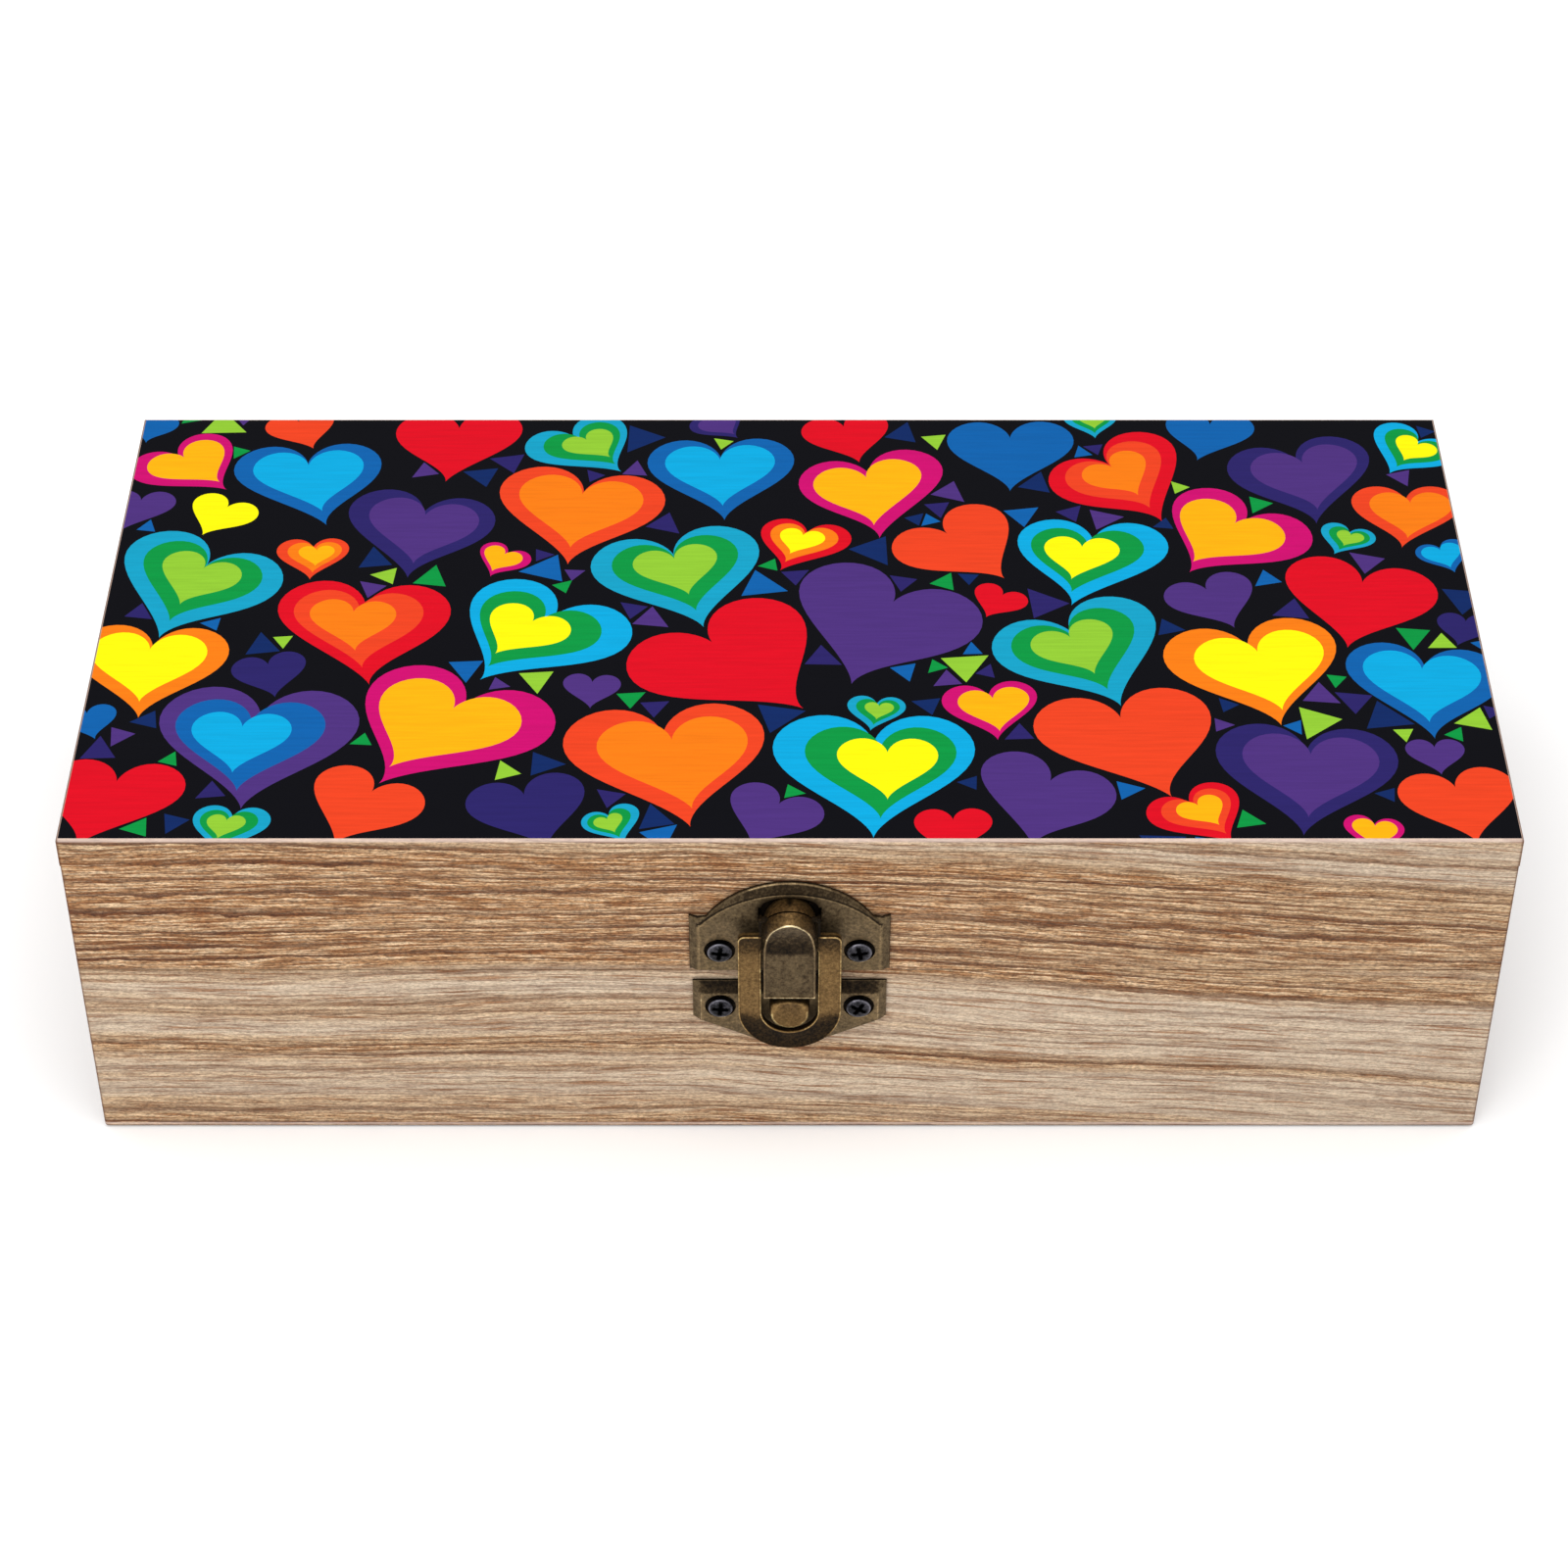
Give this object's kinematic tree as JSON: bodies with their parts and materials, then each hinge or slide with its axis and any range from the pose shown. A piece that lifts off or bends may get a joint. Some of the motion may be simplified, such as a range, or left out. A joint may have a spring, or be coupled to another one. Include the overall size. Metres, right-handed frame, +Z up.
{
  "type": "wooden storage box",
  "caption": "Small rectangular wooden storage box with a hinged lid, a printed lid top and an antique brass toggle latch on the front.",
  "frame": {"origin": "centre of the underside of the base, on the bottom board", "axes": "+X along the box's length to its right, +Y towards the hinged back, +Z up; the latch faces -Y"},
  "size_m": [0.205, 0.1082, 0.0583],
  "materials": {
    "wood": "bare sanded paulownia with brown grain",
    "printed_wood": "satin colour print on wood",
    "antique_brass": "antique brass with dark recesses and rubbed edges",
    "dark_bronze": "dark bronze plating, satin"
  },
  "bodies": {
    "base": {"base_front_board": "wood", "base_back_board": "wood", "base_left_board": "wood", "base_right_board": "wood", "base_bottom_board": "wood", "latch_catch_plate": "antique_brass", "latch_catch_screw_left": "dark_bronze", "latch_catch_screw_right": "dark_bronze", "hinge_left_base_leaf": "antique_brass", "hinge_left_pin": "dark_bronze", "hinge_left_base_screw_left": "dark_bronze", "hinge_left_base_screw_right": "dark_bronze", "hinge_right_base_leaf": "antique_brass", "hinge_right_pin": "dark_bronze", "hinge_right_base_screw_left": "dark_bronze", "hinge_right_base_screw_right": "dark_bronze"},
    "lid": {"lid_front_rail": "wood", "lid_back_rail": "wood", "lid_left_rail": "wood", "lid_right_rail": "wood", "lid_top_board": "printed_wood", "latch_lid_plate": "antique_brass", "latch_pin": "dark_bronze", "latch_lid_screw_left": "dark_bronze", "latch_lid_screw_right": "dark_bronze", "hinge_left_lid_leaf": "antique_brass", "hinge_left_lid_screw_left": "dark_bronze", "hinge_left_lid_screw_right": "dark_bronze", "hinge_right_lid_leaf": "antique_brass", "hinge_right_lid_screw_left": "dark_bronze", "hinge_right_lid_screw_right": "dark_bronze"},
    "lever": {"latch_lever": "antique_brass"},
    "loop": {"latch_loop": "antique_brass"}
  },
  "joints": [
    {"name": "lid_hinge", "type": "hinge", "parent": "base", "child": "lid", "pos_m": [0, 0.0514, 0.0328], "axis": [-1, 0, 0], "range_deg": [0, 110]},
    {"name": "latch_lever_hinge", "type": "hinge", "parent": "lid", "child": "lever", "pos_m": [0, -0.0521, 0.0437], "axis": [-1, 0, 0], "range_deg": [0, 50]},
    {"name": "latch_loop_hinge", "type": "hinge", "parent": "lever", "child": "loop", "pos_m": [0, -0.0526, 0.046], "axis": [-1, 0, 0], "range_deg": [-25, 0]}
  ],
  "couplings": [
    {"joint": "latch_loop_hinge", "follows": "latch_lever_hinge", "ratio": -0.5}
  ]
}
